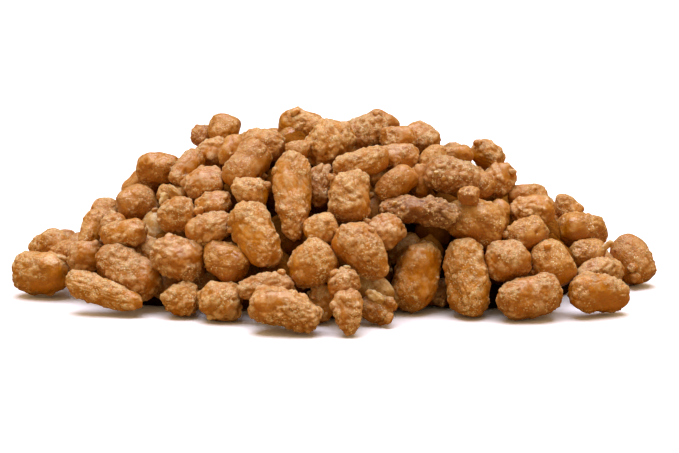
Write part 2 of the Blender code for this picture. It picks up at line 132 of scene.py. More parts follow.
IN_THE_MIDDLE = (
    (233, 151, 9.5, 7.0, 60, 0, "smooth"),
    (263, 144, 12.3, 8.4, -12, 0, "sugary"),
    (247, 166, 15.5, 10.3, 55, 2, "smooth"),
    (250, 191, 10.4, 8.0, -20, 1, "nodular"),
    (256, 236, 18.6, 11.2, 114, 3, "sugary"),
    (293, 196, 25.0, 10.4, 92, 4, "sugary"),
    (319, 185, 11.5, 7.5, 85, -3, "nodular"),
    (298, 150, 6.9, 5.4, 0, 0, "smooth"),
    (301, 126, 13.2, 9.6, 170, 0, "sugary"),
    (328, 144, 14.2, 11.8, 50, 2, "nodular"),
    (366, 133, 12.6, 10.4, 15, 0, "crusty"),
    (382, 123, 9.6, 6.6, -30, 0, "smooth"),
    (398, 140, 10.0, 8.0, 10, 0, "sugary"),
    (398, 157, 11.5, 7.7, -5, 0, "sugary"),
    (361, 164, 16.0, 7.9, 14, 5, "sugary"),
    (376, 178, 5.0, 4.4, 60, 1, "sugary"),
    (350, 196, 14.6, 11.3, -95, 3, "crusty"),
    (396, 184, 12.4, 7.8, 38, 2, "smooth"),
    (420, 181, 9.2, 5.9, 85, -1, "smooth"),
    (421, 138, 10.8, 8.7, -35, 0, "sugary"),
    (420, 211, 22.3, 8.0, 175, 6, "dark"),
    (321, 230, 9.1, 8.6, 20, 1, "sugary"),
    (363, 252, 17.0, 11.9, 132, 4, "sugary"),
    (384, 232, 11.5, 9.4, 35, 8, "nodular"),
    (312, 263, 12.9, 12.5, 20, 3, "sugary"),
    (343, 283, 9.0, 7.6, 20, 3, "nodular"),
    (368, 286, 14.5, 8.6, -37, -2, "pale"),
    # A nut in a shaded recess: its dark coat is painted shade.
    (425, 232, 10.5, 8.5, 30, -16, "dark"),
)
ON_THE_RIGHT = (
    (432, 160, 9.6, 6.7, 50, 0, "smooth"),
    (456, 156, 9.8, 6.3, 0, 0, "smooth"),
    (453, 176, 14.8, 9.9, 168, 2, "crusty"),
    (480, 186, 8.5, 7.6, 20, 0, "amber"),
    (487, 155, 9.8, 8.0, -35, 0, "sugary"),
    (499, 180, 9.6, 8.7, 60, 0, "nodular"),
    (469, 196, 6.0, 5.2, 0, 4, "amber"),
    (474, 223, 16.5, 13.5, -20, 4, "amber"),
    (499, 216, 9.0, 6.0, 80, -1, "smooth"),
    (527, 196, 11.8, 7.1, -5, 0, "smooth"),
    (532, 211, 12.8, 8.9, 5, 0, "nodular"),
    (527, 234, 11.4, 8.7, 20, 3, "amber"),
    (567, 209, 8.7, 7.2, -40, 0, "smooth"),
    (582, 231, 15.6, 10.4, 177, 2, "amber"),
    (508, 260, 11.8, 10.8, 10, 3, "sugary"),
    (552, 264, 12.9, 10.8, -60, 3, "smooth"),
    (600, 272, 14.5, 8.0, 5, 0, "crusty"),
    (588, 254, 11.0, 8.5, 10, -5, "amber"),
    (404, 251, 11.0, 8.6, 25, -6, "smooth"),
)
SEEN = ON_THE_FLOOR + ON_THE_LEFT + IN_THE_MIDDLE + ON_THE_RIGHT
# The nuts that narrow markedly to one end, by their place in the view, and by how much
TAPERED = {(347, 313): 0.40, (293, 196): 0.26, (105, 292): 0.32, (226, 260): 0.28, (474, 223): 0.24}
# Crumbs and flakes stuck on the nuts: place in the view, length and width in millimetres, lean and coat.
CRUMBS = (
    (155, 210, 2.0, 1.7, 0, "nodular"),
    (163, 200, 4.0, 2.6, 70, "pale"),
    (175, 191, 5.2, 1.8, -40, "pale"),
    (199, 212, 2.8, 2.2, 20, "nodular"),
    (230, 230, 2.2, 1.8, 40, "nodular"),
    (263, 177, 2.8, 2.4, 60, "nodular"),
    (268, 184, 2.6, 2.2, 0, "nodular"),
    (261, 187, 2.0, 1.7, 0, "nodular"),
    (280, 272, 2.3, 1.9, 0, "nodular"),
    (63, 258, 3.4, 1.4, -12, "pale"),
    (274, 171, 2.4, 1.9, 80, "nodular"),
    (278, 222, 1.1, 1.0, 0, "pale"),
    (275, 232, 1.0, 0.9, 0, "pale"),
    (376, 178, 3.4, 2.9, 10, "nodular"),
    (371, 196, 2.2, 1.8, 60, "nodular"),
    (331, 177, 2.4, 2.0, 0, "nodular"),
    (367, 222, 2.6, 2.0, -30, "nodular"),
    (371, 229, 1.9, 1.6, 0, "nodular"),
    (391, 270, 1.1, 0.9, 70, "pale"),
    (438, 278, 1.2, 1.0, 0, "pale"),
    (375, 296, 5.6, 3.0, -35, "pale"),
    (391, 302, 3.2, 2.6, -50, "nodular"),
    (396, 308, 2.2, 1.6, 70, "nodular"),
    (389, 319, 3.4, 2.4, 60, "nodular"),
    (383, 324, 2.4, 1.3, 15, "nodular"),
    (326, 316, 1.9, 1.4, 50, "pale"),
    (309, 291, 1.5, 1.2, 20, "pale"),
    (313, 298, 1.4, 1.2, 0, "nodular"),
    (348, 267, 2.0, 1.2, -10, "pale"),
    (333, 273, 2.4, 2.0, 30, "nodular"),
    (436, 172, 1.4, 1.2, 0, "pale"),
    (443, 178, 1.5, 1.2, 40, "pale"),
    (385, 207, 1.3, 1.1, 0, "nodular"),
    (394, 204, 1.6, 1.0, 30, "pale"),
    (403, 207, 1.2, 1.0, 0, "nodular"),
    (478, 142, 2.6, 2.2, 0, "nodular"),
    (513, 172, 2.6, 2.2, -40, "nodular"),
    (505, 235, 2.3, 1.9, 30, "nodular"),
    (547, 246, 2.0, 1.6, 0, "nodular"),
    (534, 273, 2.6, 2.0, 0, "nodular"),
    (631, 268, 3.2, 2.8, 20, "nodular"),
    (634, 277, 3.5, 3.0, -30, "nodular"),
    (641, 282, 1.8, 1.5, 0, "nodular"),
    (606, 246, 5.2, 2.0, 30, "pale"),
    (295, 111, 2.9, 2.1, 25, "nodular"),
    (378, 113, 2.6, 2.0, 0, "nodular"),
)

# ---- How the rest of the heap is filled ----
SEED = 11
FILL_DEPTHS = (0.0010, 0.0055)  # how far below the mound's skin the two rounds of filling nuts lie
FILL_TRIES = (2600, 2600)
FILL_SPACING = 0.0104
FILL_SHOWING = 0.06  # the share of a filling nut that may come in front of a nut that was read
SHADED_DEPTH = 0.0105  # a filling nut whose middle lies deeper is painted as shade: it only shows in gaps
FILL_COATS = ("sugary", "smooth", "nodular", "sugary", "smooth", "amber", "nodular", "crusty")
EASE_ROUNDS = 160
EASE_PRESS = 0.93  # two nuts come this close, as a share of their widths
EASE_SHARE = 0.42  # how much of an overlap one round takes away
EASE_STEP = 0.0012  # the farthest that one round pushes a nut
TAKEN_ALONG = 0.9  # the share of a push that a nut that was read takes along its line of sight
BACK_ALONG = 0.02  # the share of the way back to its first place that it goes in each round
TAKEN_ACROSS = 0.12  # the same two shares across its line of sight
BACK_ACROSS = 0.3
BACK_FREE = 0.05  # the way back of a filling nut, which takes the whole of a push
TAKEN_ON_FLOOR = 0.25  # how much of its slide a nut on the floor makes

# ---- The second layer, and the core under it ----
INNER_DEPTHS = (0.0090, 0.0120)  # how far below the mound's skin its nuts lie
INNER_TRIES = 4000
INNER_SPACING = 0.0086
INNER_LIFT = 0.0052  # how much higher those lie that the front view can't see
RIDGE = -0.24  # in front of the ridge, the mound's normal along the view is less than this
CORE_DEPTH = 0.0240
CORE_SPOKES = 72
CORE_RINGS = 26
CORE_EDGE = 0.003  # how high its edge lies
CORE_UNDERSIDE = 0.0004

# ---- How finely the surfaces are made: the side of a patch's squares, in metres ----
FRONT_EDGE = 0.00033  # of the nuts that were read, and of the crumbs
BACK_EDGE = 0.00080  # of the filling nuts
SECOND_EDGE = 0.00105  # of the second layer's lifted nuts
INNER_EDGE = 0.0018  # of its shaded nuts

# Where each further lot of nuts starts to count, so that no two nuts draw from the same seed
SECOND_NUMBERS = 1000
CRUMB_NUMBERS = 2000
INNER_NUMBERS = 3000
MM = 0.001


# ======== Where the nuts lie ========


def footprint_radius(x, y):
    """The footprint's radius in the direction of each point, eased between the values of FOOTPRINT."""
    turn = np.degrees(np.arctan2(y, x)) % 360
    radii = np.array([*FOOTPRINT.values(), FOOTPRINT[360]])
    at = np.interp(turn, list(FOOTPRINT), range(len(FOOTPRINT)))
    low = np.floor(at).astype(int)
    part = at - low
    part = part * part * (3 - 2 * part)
    return radii[low] * (1 - part) + radii[low + 1] * part


def mound_height(x, y):
    """The smooth mound that the nuts' outer sides follow: height x (1 - share of radius ^ fullness)."""
    reach = np.hypot(x, y) + 1e-9
    fullness = SIDE_FULLNESS + (FRONT_FULLNESS - SIDE_FULLNESS) * (y / reach) ** 2
    return HEAP_HEIGHT * (1 - (reach / footprint_radius(x, y)) ** fullness)


def mound_normal(points, step=0.0005):
    """The mound's outward direction above or below each point."""
    x, y = points[..., 0], points[..., 1]
    slope_x = (mound_height(x + step, y) - mound_height(x - step, y)) / (2 * step)
    slope_y = (mound_height(x, y + step) - mound_height(x, y - step)) / (2 * step)
    normal = np.stack((-slope_x, -slope_y, np.ones_like(slope_x)), axis=-1)
    return normal / np.linalg.norm(normal, axis=-1, keepdims=True)


def above_mound(points):
    """Each point's distance outside the mound's skin, below zero inside."""
    height = points[..., 2] - mound_height(points[..., 0], points[..., 1])
    return height * mound_normal(points)[..., 2]


def unit(vectors):
    return vectors / np.linalg.norm(vectors, axis=-1, keepdims=True)


def seen_nuts():
    """Where the nuts that were read lie: on the floor, or where their line of sight enters the mound."""
    across, down, length, width, lean, towards = np.array([row[:6] for row in SEEN], float).T
    length, width, towards = length / 1000, width / 1000, towards / 1000
    sideways = np.outer((across - VIEW_MIDDLE[0]) / VIEW_LENS, VIEW_RIGHT)
    rays = VIEW_FORWARD + sideways - np.outer((down - VIEW_MIDDLE[1]) / VIEW_LENS, VIEW_UP)
    depths = np.arange(0.8 * VIEW_DISTANCE, 1.2 * VIEW_DISTANCE, SIGHT_STEP)
    clear = above_mound(VIEW_PLACE + depths[:, None] * rays[:, None, :]) + width[:, None] / 2
    first = np.where((clear < 0).any(axis=1), np.argmax(clear < 0, axis=1), np.argmin(clear, axis=1))
    depth = depths[first]
    # Each nut lies half way between square to the view and flat on the mound's slope.
    lean = np.radians(lean)
    flat = np.outer(np.cos(lean), VIEW_RIGHT) + np.outer(np.sin(lean), VIEW_UP)
    normal = mound_normal(VIEW_PLACE + depth[:, None] * rays)
    facing = np.minimum((unit(rays) * normal).sum(axis=1), -0.3)
    tip = np.clip(-0.5 * (flat * normal).sum(axis=1) / facing, -0.5, 0.5)
    axis = unit(flat + tip[:, None] * unit(rays))
    floor = np.arange(len(SEEN)) < len(ON_THE_FLOOR)
    stand = (length - width) / 2 * np.abs(axis[:, 2]) + width / 2
    depth = np.where(floor, (stand - VIEW_PLACE[2]) / rays[:, 2], depth) - towards
    place = VIEW_PLACE + depth[:, None] * rays
    return place, axis, length, width, floor


def in_view(points):
    """Each point's place across and down the front view, in pixels, and its depth from the eye."""
    reach = points - VIEW_PLACE
    depth = reach @ VIEW_FORWARD
    across = VIEW_MIDDLE[0] + VIEW_LENS * (reach @ VIEW_RIGHT) / depth
    down = VIEW_MIDDLE[1] - VIEW_LENS * (reach @ VIEW_UP) / depth
    return across, down, depth


def front_depths(place, axis, length, width):
    """The depth of the nearest read nut at each pixel of the front view.

    It is far away outside the heap's outline, and nothing lies in front of the gaps inside the outline.
    """
    columns, rows = np.meshgrid(np.arange(VIEW_SIZE[0]), np.arange(VIEW_SIZE[1]))
    nearest = np.full(columns.shape, np.inf)
    for x, y, depth, lie, long, wide in zip(*in_view(place), axis, length, width):
        scale = VIEW_LENS / depth
        along = unit(np.array((lie @ VIEW_RIGHT, -(lie @ VIEW_UP))))
        right, down = columns - x, rows - y
        share = (right * along[0] + down * along[1]) ** 2 / (scale * long / 2) ** 2
        share += (right * along[1] - down * along[0]) ** 2 / (scale * wide / 2) ** 2
        face = depth - wide / 2 * np.sqrt(np.maximum(1 - share, 0))
        nearest = np.where(share < 1, np.minimum(nearest, face), nearest)
    covered = np.isfinite(nearest)
    below_top = np.maximum.accumulate(covered, axis=0)
    above_bottom = np.maximum.accumulate(covered[::-1], axis=0)[::-1]
    return np.where(covered, nearest, np.where(below_top & above_bottom, -np.inf, np.inf))


def share_showing(point, width, depths):
    """How much of a nut at this point comes in front of the read nuts or outside the heap's outline."""
    across, down, depth = in_view(point)
    reach = width / 2 * VIEW_LENS / depth
    steps = np.linspace(-1, 1, 9)
    right, under = np.meshgrid(steps, steps)
    inside = right**2 + under**2 < 1
    column = np.clip(across + reach * right[inside], 0, VIEW_SIZE[0] - 1).astype(int)
    row = np.clip(down + reach * under[inside], 0, VIEW_SIZE[1] - 1).astype(int)
    return float((depth - width / 3 < depths[row, column]).mean())


def filling_nuts(place, depths):
    """Seeded nuts over the rest of the mound, no nearer than FILL_SPACING to each other."""
    draw = np.random.RandomState(SEED)
    taken = place
    found = []
    for inset, tries in zip(FILL_DEPTHS, FILL_TRIES):
        for _ in range(tries):
            turn, share, spin = draw.uniform(0, (2 * math.pi, 1, math.pi))
            length, width = draw.uniform(*NUT_LENGTHS), draw.uniform(*NUT_WIDTHS)
            ray = np.array((math.cos(turn), math.sin(turn), 0.0))
            point = ray * math.sqrt(share) * footprint_radius(ray[0], ray[1])
            point[2] = mound_height(point[0], point[1])
            normal = mound_normal(point)
            point = point - normal * (width / 2 + inset)
            point[2] = max(point[2], width / 2 + FLOOR_GAP)
            if np.linalg.norm(taken - point, axis=1).min() < FILL_SPACING:
                continue
            if share_showing(point, width, depths) > FILL_SHOWING:
                continue
            across = unit(np.cross(normal, VIEW_RIGHT + 0.2 * VIEW_FORWARD))
            axis = math.cos(spin) * across + math.sin(spin) * np.cross(normal, across)
            taken = np.vstack((taken, point))
            found.append((point, axis, length, width))
    return [np.array(column) for column in zip(*found)]


def ease_apart(place, axis, length, width, read, floor):
    """Pushes overlapping nuts apart, each as three balls along its axis.

    A nut that was read slides mostly along its line of sight, so that its picture hardly moves, and a
    filling nut moves freely.
    """
    home = place
    sight = unit(place - VIEW_PLACE)
    half = (length - width) / 2
    stand = half * np.abs(axis[:, 2]) + width / 2 + FLOOR_GAP
    balls = axis[:, None, :] * (half[:, None] * np.array((-1.0, 0.0, 1.0)))[:, :, None]
    owner = np.repeat(np.arange(len(place)), 3)
    radius = np.repeat(width / 2, 3)
    reach = np.where(owner[:, None] == owner, 0, (radius[:, None] + radius) * EASE_PRESS)
    for _ in range(EASE_ROUNDS):
        middle = (place[:, None, :] + balls).reshape(-1, 3)
        gap = middle[:, None, :] - middle
        distance = np.linalg.norm(gap, axis=2) + 1e-9
        overlap = np.maximum(reach - distance, 0) / distance
        push = EASE_SHARE * (gap * overlap[:, :, None]).sum(axis=1).reshape(-1, 3, 3).mean(axis=1)
        push *= np.minimum(1, EASE_STEP / np.maximum(np.linalg.norm(push, axis=1, keepdims=True), 1e-9))
        away = place - home
        push_deep = (push * sight).sum(axis=1, keepdims=True) * sight
        away_deep = (away * sight).sum(axis=1, keepdims=True) * sight
        slide = TAKEN_ALONG * push_deep - BACK_ALONG * away_deep
        slide += TAKEN_ACROSS * (push - push_deep) - BACK_ACROSS * (away - away_deep)
        slide *= np.where(floor, TAKEN_ON_FLOOR, 1.0)[:, None]
        place = place + np.where(read[:, None], slide, push - BACK_FREE * away)
        place[:, 2] = np.maximum(place[:, 2], stand)
    return place


def laid_nuts():
    """Every outer nut: its middle, axis, length and width, and whether it was read from the front."""
    place, axis, length, width, floor = seen_nuts()
    depths = front_depths(place, axis, length, width)
    more = filling_nuts(place, depths)
    read = np.arange(len(place) + len(more[0])) < len(place)
    floor = np.pad(floor, (0, len(more[0])))
    place, axis, length, width = (
        np.concatenate(pair) for pair in zip((place, axis, length, width), more)
    )
    place = ease_apart(place, axis, length, width, read, floor)
    hidden = [share_showing(p, w, depths) < FILL_SHOWING for p, w in zip(place, width)]
    kept = read | np.array(hidden)
    return place[kept], axis[kept], length[kept], width[kept], read[kept]


def inner_nuts():
    """Seeded nuts in the layer under the outer ones, which close the gaps between them.

    They come in two lists: those behind the ridge, which are lifted, and the shaded ones in front of it
    or where a lifted nut would show in the front view.
    """
    draw = np.random.RandomState(SEED + 1)
    outline = front_depths(*seen_nuts()[:4])
    taken = np.full((1, 3), 9.0)
    found = ([], [])
    for _ in range(INNER_TRIES):
        turn, share = draw.uniform(0, (2 * math.pi, 1))
        axis = unit(draw.normal(size=3))
        length, width, inset = (draw.uniform(*pair) for pair in (NUT_LENGTHS, NUT_WIDTHS, INNER_DEPTHS))
        ray = np.array((math.cos(turn), math.sin(turn), 0.0))
        point = ray * math.sqrt(share) * footprint_radius(ray[0], ray[1])
        point[2] = mound_height(point[0], point[1])
        normal = mound_normal(point)
        point = point - normal * (width / 2 + inset)
        if point[2] < width / 2 or np.linalg.norm(taken - point, axis=1).min() < INNER_SPACING:
            continue
        taken = np.vstack((taken, point))
        lifted = point + normal * INNER_LIFT
        shaded = normal @ VIEW_FORWARD < RIDGE or share_showing(lifted, width, outline) > FILL_SHOWING
        found[int(shaded)].append((point if shaded else lifted, axis, length, width))
    return found


# ======== Surfaces ========


@functools.lru_cache(maxsize=None)
def ball(sides):
    """Directions over a ball and the squares between them: six square patches of sides x sides.

    A patch's point (u, v), both from -1 to 1, lies along (1, tan(u x 45 degrees), tan(v x 45 degrees)).
    The other patches are that one rolled from axis to axis or turned about the middle, and the points
    that two patches share are merged.
    """
    steps = np.tan(np.linspace(-1, 1, sides + 1) * math.pi / 4)
    u, v = np.meshgrid(steps, steps, indexing="ij")
    patch = np.stack((np.ones_like(u), u, v), axis=-1).reshape(-1, 3)
    number = np.arange(len(patch)).reshape(sides + 1, sides + 1)
    corners = (number[:-1, :-1], number[1:, :-1], number[1:, 1:], number[:-1, 1:])
    squares = np.stack([corner.ravel() for corner in corners], axis=1)
    turns = [(way, roll) for way in (1, -1) for roll in range(3)]
    points = [np.roll(patch, roll, axis=1) * way for way, roll in turns]
    quads = [squares[:, ::way] + len(patch) * turn for turn, (way, _) in enumerate(turns)]
    points, merged = np.unique(np.round(unit(np.concatenate(points)), 7), axis=0, return_inverse=True)
    return unit(points), merged.reshape(-1)[np.concatenate(quads)]


def outward(points, quads):
    """Unit normals at the points: the sum of the crossed diagonals of the squares round each."""
    corner = points[quads]
    normal = np.cross(corner[:, 2] - corner[:, 0], corner[:, 3] - corner[:, 1])
    total = [
        sum(np.bincount(quads[:, side], normal[:, way], len(points)) for side in range(4))
        for way in range(3)
    ]
    return unit(np.stack(total, axis=1) + 1e-15)


NOISE_SIDE = 24  # the seeded values along each side of the noise's lattice, after which it repeats


def noise(points, cell, seed):
    """Smooth noise, -1 to 1: seeded values at the corners of cubes of side cell, eased between them."""
    lattice = np.random.RandomState(seed).uniform(-1, 1, (NOISE_SIDE,) * 3)
    at = points / cell
    low = np.floor(at).astype(int)
    part = at - low
    part = part * part * (3 - 2 * part)
    total = 0.0
    for corner in np.ndindex(2, 2, 2):
        weight = np.prod(np.where(corner, part, 1 - part), axis=-1)
        x, y, z = ((low + corner) % NOISE_SIDE).T
        total = total + weight * lattice[x, y, z]
    return total


def eased(values, low, high):
    """0 below low, 1 above high, and eased between them."""
    share = np.clip((values - low) / (high - low), 0, 1)
    return share * share * (3 - 2 * share)


def nut_surface(directions, place, axis, length, width, number):
    """One nut: a lumpy egg, fuller than an ellipsoid, from the directions in which its points lie.

    Along the axis it tapers and, if long, narrows at a waist.  It bends a little and has soft lumps.
    """
    draw = np.random.RandomState(SEED + 100 * number)
    fullness = draw.uniform(2.2, 2.8)
    taper = draw.uniform(0.0, 0.20)
    if number < len(SEEN):
        taper = TAPERED.get(SEEN[number][:2], taper)
    waist = draw.uniform(0.0, 0.12) * min(max(length / width - 1.3, 0), 1)
    bend = draw.uniform(-0.09, 0.09)
    thickness = draw.uniform(0.88, 1.0)
    lumps = unit(draw.normal(size=(6, 3)))
    heights = draw.uniform(-0.07, 0.13, 6)
    along = directions[:, :1]
    ring = np.sqrt(np.maximum(1 - along**2, 1e-9))
    radius = (1 - np.abs(along) ** fullness) ** (1 / fullness) / ring
    radius = np.where(ring < 1e-3, 1.0, radius)
    radius *= (1 + taper * along) * (1 - waist * np.exp(-((along / 0.35) ** 2)))
    radius += (heights * np.exp(6 * (directions @ lumps.T - 1))).sum(axis=1, keepdims=True)
    sideways = directions[:, 1:] * radius * np.array((1.0, thickness)) * width / 2
    sideways[:, 0] += bend * width * (along[:, 0] ** 2 - 0.4)
    side = unit(np.cross(place - VIEW_PLACE, axis))
    deep = np.cross(axis, side)
    offset = along * axis * length / 2 + sideways[:, :1] * side + sideways[:, 1:] * deep
    return place + offset


# How each kind of coat is built: nodules for each square centimetre, their smallest and largest radius
# in millimetres, the share of the surface they crowd, and the height in millimetres of its waves, its
# crust, its creases and its pits.
COATS = {
    "sugary": (44, 0.24, 0.74, 0.55, 0.46, 0.32, 0.16, 0.30),
    "nodular": (36, 0.32, 1.10, 0.70, 0.48, 0.46, 0.20, 0.40),
    "crusty": (50, 0.26, 0.90, 0.75, 0.46, 0.44, 0.22, 0.36),
    "smooth": (26, 0.22, 0.62, 0.40, 0.48, 0.18, 0.16, 0.28),
    "amber": (28, 0.24, 0.70, 0.45, 0.50, 0.24, 0.20, 0.32),
    "dark": (34, 0.34, 0.95, 0.65, 0.46, 0.45, 0.24, 0.36),
    "pale": (3, 0.45, 0.80, 0.15, 0.20, 0.06, 0.10, 0.10),
    "crumb": (60, 0.25, 0.55, 0.70, 0.16, 0.24, 0.00, 0.00),
    "inner": (6, 0.80, 1.50, 0.60, 0.40, 0.10, 0.00, 0.00),
}
WARP = 0.00060  # how far noise pulls the nodules out of round
NODULE_RISE = (0.26, 0.68)  # a nodule's height over its radius
PITS = 5
PIT_RADII = (0.45, 0.95)  # in millimetres
LOWEST = 0.0001  # a nut's lowest point is at least this far above the surface


def flattened(points, middle, axis, draw, size):
    """Presses flat faces into a nut: what stands past a plane is pulled most of the way back to it.

    Two of the planes face more or less along the axis and blunt the ends, and the others face sideways.
    """
    for turn in range(draw.randint(3, 7)):
        facing = draw.normal(size=3)
        facing -= 0.8 * (facing @ axis) * axis
        facing = unit(axis * (1, -1)[turn] + 0.35 * facing) if turn < 2 else unit(facing)
        reach = (points - middle) @ facing
        limit = reach.max() * draw.uniform(0.84, 0.96)
        over = np.logaddexp(0, (reach - limit) / (0.04 * size)) * 0.04 * size
        points = points - 0.7 * over[:, None] * facing
    return points


def fitted(points, middle, axis, length, width):
    """Brings a nut back to its length and width, but for its highest nodules, and centres it."""
    side = unit(np.cross(middle - VIEW_PLACE, axis))
    deep = np.cross(axis, side)
    reach = (points - middle) @ np.stack((axis, side, deep), axis=1)
    low, high = np.quantile(reach, (0.01, 0.99), axis=0)
    span = (high - low) / 0.98
    grow = np.array((length / span[0], width / span[1], width / span[1]))
    return middle + (reach - (low + high) / 2) * grow @ np.stack((axis, side, deep))


def domes(points, seeds, radius, power):
    """Round domes over seeded points, (1 - (distance / radius)^2)^power, with a column for each dome."""
    near = np.linalg.norm(points[:, None, :] - points[seeds], axis=2) / radius
    return np.maximum(1 - near**2, 0) ** power


def nodules(points, own, crags, count, radii, draw):
    """How high the nodules stand at each point in millimetres, the highest of them counting.

    Each is a dome of height radius x (1 - (distance / radius)^2)^0.6, and noise pulls it out of round.
    Most of them lie in the crags.
    """
    chance = crags + 0.06
    seeds = draw.choice(len(points), min(count, len(points)), replace=False, p=chance / chance.sum())
    smallest, largest = radii
    radius = (smallest + (largest - smallest) * draw.uniform(0, 1, len(seeds)) ** 1.8) * MM
    steepness = draw.uniform(*NODULE_RISE, len(seeds))
    pull = [noise(own, 1.3 * MM, 11 + way) + 0.5 * noise(own, 0.6 * MM, 15 + way) for way in range(3)]
    bent = points + WARP * np.stack(pull, axis=1)
    return (domes(bent, seeds, radius, 0.6) * radius * steepness / MM).max(axis=1)


def pitted(points, draw):
    """How deep the pits are at each point, 0 to 1: round domes of power 0.8, to be turned inwards."""
    seeds = draw.choice(len(points), PITS, replace=False)
    return domes(points, seeds, draw.uniform(*PIT_RADII, PITS) * MM, 0.8).max(axis=1)


def coated_nut(place, axis, length, width, number, coat, edge):
    """One nut with its coat: points, squares, and each point's crest, valley, glaze, tone and painted top
    light.

    The nut's surface is raised along its normals by waves (two sizes of noise), by a crust of fused
    crumbs (two finer sizes of noise without their signs, which makes round lumps between sharp seams)
    and by nodules.  It is lowered in creases, where one noise passes through zero, and in pits.  Crust
    and nodules crowd in crags, where a slow noise is high, and the glaze lies between the crags.  The
    more a point faces up, the more painted light its colour takes, and the more it faces down, the more
    painted shade.
    """
    per_area, smallest, largest, crowd, waves, grain, creases, pits = COATS[coat]
    draw = np.random.RandomState(SEED + 7 + 100 * number)
    sides = max(4, int(round(math.pi * (length + width) / 2 / 4 / edge)))
    directions, quads = ball(sides)
    points = nut_surface(directions, place, axis, length, width, number)
    points = flattened(points, place, axis, draw, width)
    normal = outward(points, quads)
    turned, _ = np.linalg.qr(draw.normal(size=(3, 3)))
    own = (points - place) @ turned + draw.uniform(0, 0.3, 3)
    patch = noise(own, 5.5 * MM, 4) + 0.5 * noise(own, 2.6 * MM, 5)
    bar = np.quantile(patch, 1 - crowd)
    crags = eased(patch, bar - 0.12, bar + 0.12)
    wave = 0.9 * noise(own, 4.4 * MM, 1) + 0.6 * noise(own, 2.1 * MM, 2)
    crust = np.abs(noise(own, 1.8 * MM, 3)) + 0.5 * np.abs(noise(own, 0.9 * MM, 14))
    area = math.pi * length * width * 1e4  # in square centimetres
    dome = nodules(points, own, crags, int(per_area * area), (smallest, largest), draw)
    crease_line = noise(own, 3.4 * MM, 6) + 0.4 * noise(own, 1.5 * MM, 7)
    crease = np.exp(-((crease_line / 0.10) ** 2)) * (1 - 0.7 * crags)
    pit = pitted(points, draw)
    rise = waves * wave + grain * (0.15 + 1.2 * crags) * crust + dome - creases * crease - pits * pit
    points = fitted(points + normal * (rise * MM)[:, None], place, axis, length, width)
    # Painted light and shade: the more a point faces up, the lighter its colour, and facing down, the
    # deeper.
    dry = eased(outward(points, quads)[:, 2] + 0.3 * noise(own, 3.0 * MM, 18), -0.5, 0.9)
    points[:, 2] += max(LOWEST - points[:, 2].min(), 0)
    # Crests take pale sugar and a painted highlight on the tops of the nodules and crust.
    crest = np.clip(1.9 * dome + crags * (crust - 0.35), 0, 1)
    # Valleys take deep amber, part pooled toffee and part painted shade, in hollows, creases and pits.
    valley = crags * (0.75 - 1.9 * crust) - 2.6 * dome + 0.8 * pit + 3.0 * creases * crease
    glaze = eased(-patch + 0.25 * noise(own, 1.6 * MM, 8), -0.2, 0.55)
    tone = np.full(len(points), draw.uniform(-1, 1))
    return points, quads, np.stack((crest, np.clip(valley, 0, 1), glaze, tone, dry), axis=1)


MARKS = ("crest", "valley", "glaze", "tone", "dry")


def made(name, parts, material):
    """One mesh object from (points, squares, marks) parts, at the origin, shaded smooth."""
    counts = np.cumsum([0] + [len(points) for points, _, _ in parts])
    points = np.concatenate([points for points, _, _ in parts])
    quads = np.concatenate([quads + start for (_, quads, _), start in zip(parts, counts)])
    marks = np.concatenate([marks for _, _, marks in parts])
    mesh = bpy.data.meshes.new(name)
    mesh.vertices.add(len(points))
    mesh.vertices.foreach_set("co", points.astype(np.float32).ravel())
    mesh.loops.add(quads.size)
    mesh.loops.foreach_set("vertex_index", quads.astype(np.int32).ravel())
    mesh.polygons.add(len(quads))
    mesh.polygons.foreach_set("loop_start", np.arange(0, quads.size, 4, dtype=np.int32))
    mesh.polygons.foreach_set("use_smooth", np.ones(len(quads), bool))
    for mark, values in zip(MARKS, marks.T):
        layer = mesh.attributes.new(mark, "FLOAT", "POINT")
        layer.data.foreach_set("value", values.astype(np.float32))
    mesh.update()
    mesh.validate()
    mesh.materials.append(material)
    obj = bpy.data.objects.new(name, mesh)
    bpy.context.scene.collection.objects.link(obj)
    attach(obj, "root")
    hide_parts(HEAP)


def core():
    """The dark inside, painted as shade, made lumpy by noise and closed: the mound CORE_DEPTH under its
    skin.

    It lies on rings and spokes.  A point at share s of the way out and turn t lies at
    s x (footprint - depth) along t, at the height of the mound there less the depth.  The last rings are
    drawn in under the middle, and strips of squares close the first and the last ring.
    """
    turn = np.arange(CORE_SPOKES) * 2 * math.pi / CORE_SPOKES
    share = np.concatenate((np.linspace(0.001, 1, CORE_RINGS), (0.999, 0.5, 0.001)))
    turn, share = np.meshgrid(turn, share)
    reach = share * (footprint_radius(np.cos(turn), np.sin(turn)) - CORE_DEPTH)
    x, y = reach * np.cos(turn), reach * np.sin(turn)
    height = np.maximum(mound_height(x, y) - CORE_DEPTH, CORE_EDGE)
    height[CORE_RINGS:] = CORE_UNDERSIDE
    points = np.stack((x, y, height), axis=-1).reshape(-1, 3)
    lumps = 0.0018 * noise(points, 0.009, 9) + 0.0008 * noise(points, 0.004, 10)
    points[:, 2] += np.where(points[:, 2] > 0.001, lumps, 0)
    number = np.arange(len(points)).reshape(share.shape)
    after = np.roll(number, -1, axis=1)
    corners = (number[:-1], number[1:], after[1:], after[:-1])
    quads = np.stack([corner.ravel() for corner in corners], axis=1)
    strip = np.arange(CORE_SPOKES // 2 - 1)
    cap = np.stack((strip, strip + 1, CORE_SPOKES - 2 - strip, CORE_SPOKES - 1 - strip), axis=1)
    quads = np.concatenate((quads, number[0][cap], number[-1][cap[:, ::-1]]))
    return points, quads, np.zeros((len(points), len(MARKS)))


# ======== Materials ========


def tint(red, green, blue):
    """A colour given as it looks on a screen, 0 to 255, as the shader wants it."""
    share = np.array((red, green, blue)) / 255
    linear = np.where(share <= 0.04045, share / 12.92, ((share + 0.055) / 1.055) ** 2.4)
    return (*linear, 1.0)


